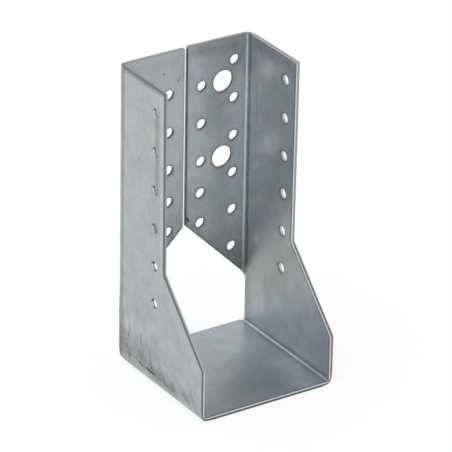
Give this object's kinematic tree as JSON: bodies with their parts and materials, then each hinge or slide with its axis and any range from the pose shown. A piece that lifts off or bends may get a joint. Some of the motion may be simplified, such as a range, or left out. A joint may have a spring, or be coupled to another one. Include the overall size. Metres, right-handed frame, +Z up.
{
  "type": "joist hanger",
  "caption": "Folded sheet steel joist hanger with a seat, side walls and header flanges turned inwards, holed for nails and bolts.",
  "frame": {"origin": "middle of the seat's underside, centred on the seat's depth", "axes": "+X across the joist to the right seen from the joist's side, +Y towards the header, +Z up"},
  "size_m": [0.075, 0.077, 0.157],
  "materials": {
    "galvanised_steel": "semi-gloss zinc coating with blurred reflections, bare at the cut edges"
  },
  "bodies": {
    "root": {"hanger": "galvanised_steel"}
  },
  "joints": []
}
